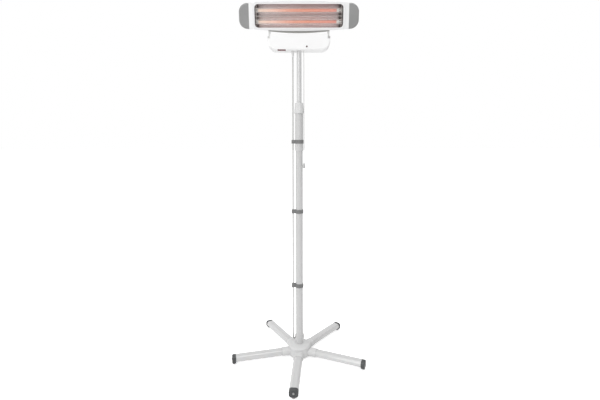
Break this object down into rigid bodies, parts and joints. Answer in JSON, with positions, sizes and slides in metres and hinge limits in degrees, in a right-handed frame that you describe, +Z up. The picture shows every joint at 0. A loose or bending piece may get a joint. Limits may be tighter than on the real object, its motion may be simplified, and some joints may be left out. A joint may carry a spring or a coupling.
{
  "type": "free-standing radiant heater",
  "caption": "Quartz radiant heater head tilting on a switch box, on a telescopic pole with a twist-lock collar and a star base with foot caps.",
  "frame": {"origin": "On the floor, on the pole's axis, in the plane of the foot pads.", "axes": "+Z up along the pole, +X to the right seen from the front, and the heating face looks towards -Y."},
  "size_m": [0.5785, 0.5754, 1.5921],
  "materials": {
    "white_tube": "white gloss powder coat",
    "pole_paint": "white gloss powder coat",
    "white_plastic": "white moulded, soft gloss",
    "head_paint": "white satin powder coat",
    "bezel_plastic": "white moulded, soft gloss",
    "cap_grey": "grey moulded, matt",
    "yoke_grey": "grey satin paint",
    "arm_light": "light grey moulded",
    "foot_plastic": "charcoal moulded, matt",
    "glide_plastic": "light grey moulded",
    "button_metal": "polished",
    "steel": "zinc plated",
    "clip_grey": "grey moulded, matt",
    "collar_white": "white moulded",
    "sleeve_white": "white moulded",
    "natural_plastic": "natural nylon",
    "cable_white": "white PVC sheath",
    "cord_fibre": "light grey braided cord",
    "grip_plastic": "light grey moulded",
    "plug_white": "white moulded PVC",
    "brass_pins": "bare brass",
    "tie_black": "black nylon",
    "reflector_metal": "polished aluminium",
    "quartz_glass": "clear quartz",
    "coil_glow": "glowing heating wire",
    "ceramic": "unglazed steatite",
    "guard_wire": "bright plated wire",
    "lens_red": "dark red lens"
  },
  "bodies": {
    "stand": {"hub_body": "white_plastic", "hub_cover": "white_plastic", "hub_bolt": "steel", "pole_insert": "natural_plastic", "leg_tube_front": "white_tube", "leg_tube_right": "white_tube", "leg_tube_back_right": "white_tube", "leg_tube_back_left": "white_tube", "leg_tube_left": "white_tube", "foot_cap_front": "foot_plastic", "foot_cap_right": "foot_plastic", "foot_cap_back_right": "foot_plastic", "foot_cap_back_left": "foot_plastic", "foot_cap_left": "foot_plastic", "foot_glides": "glide_plastic", "cap_buttons": "button_metal", "leg_screws": "steel", "lower_tube": "pole_paint", "clamp_sleeve": "sleeve_white", "collet": "natural_plastic", "pole_bush": "natural_plastic", "cable_clips": "clip_grey", "mains_cable_lower": "cable_white", "cable_hank": "cable_white", "hank_tie": "tie_black", "mains_cable_tail": "cable_white", "plug_body": "plug_white", "plug_pins": "brass_pins"},
    "collar": {"clamp_collar": "collar_white"},
    "mast": {"inner_tube": "pole_paint", "inner_tube_bush": "natural_plastic", "mast_socket": "steel", "support_bracket": "steel", "switch_box_body": "white_plastic", "switch_box_lid": "white_plastic", "lid_screws": "steel", "switch_body": "natural_plastic", "switch_spring": "steel", "cord_bush": "cap_grey", "terminal_block": "natural_plastic", "indicator_lens": "lens_red", "cable_relief": "clip_grey", "mains_cable_upper": "cable_white", "tilt_screws": "steel"},
    "pull": {"pull_cord": "cord_fibre", "pull_grip": "grip_plastic", "switch_plunger": "natural_plastic"},
    "head": {"tilt_strap": "yoke_grey", "yoke_arms": "arm_light", "head_housing": "head_paint", "front_panel": "head_paint", "front_bezel": "bezel_plastic", "reflector": "reflector_metal", "guard_grille": "guard_wire", "quartz_tube_upper": "quartz_glass", "quartz_tube_lower": "quartz_glass", "heating_coils": "coil_glow", "ceramic_holders": "ceramic", "end_cap_left": "cap_grey", "end_cap_right": "cap_grey"}
  },
  "joints": [
    {"name": "collar_twist", "type": "hinge", "parent": "stand", "child": "collar", "pos_m": [0, 0, 1.109], "axis": [0, 0, 1], "range_deg": [0, 180]},
    {"name": "mast_slide", "type": "slide", "parent": "stand", "child": "mast", "axis": [0, 0, 1], "range_m": [-0.2, 0.34], "deforming": ["mains_cable_upper"]},
    {"name": "pull_slide", "type": "slide", "parent": "mast", "child": "pull", "axis": [0, 0, -1], "range_m": [0, 0.008], "stiffness_N_per_m": 1000, "deforming": ["switch_spring"]},
    {"name": "head_tilt", "type": "hinge", "parent": "mast", "child": "head", "pos_m": [0, 0, 1.427], "axis": [1, 0, 0], "range_deg": [-30, 15]}
  ]
}
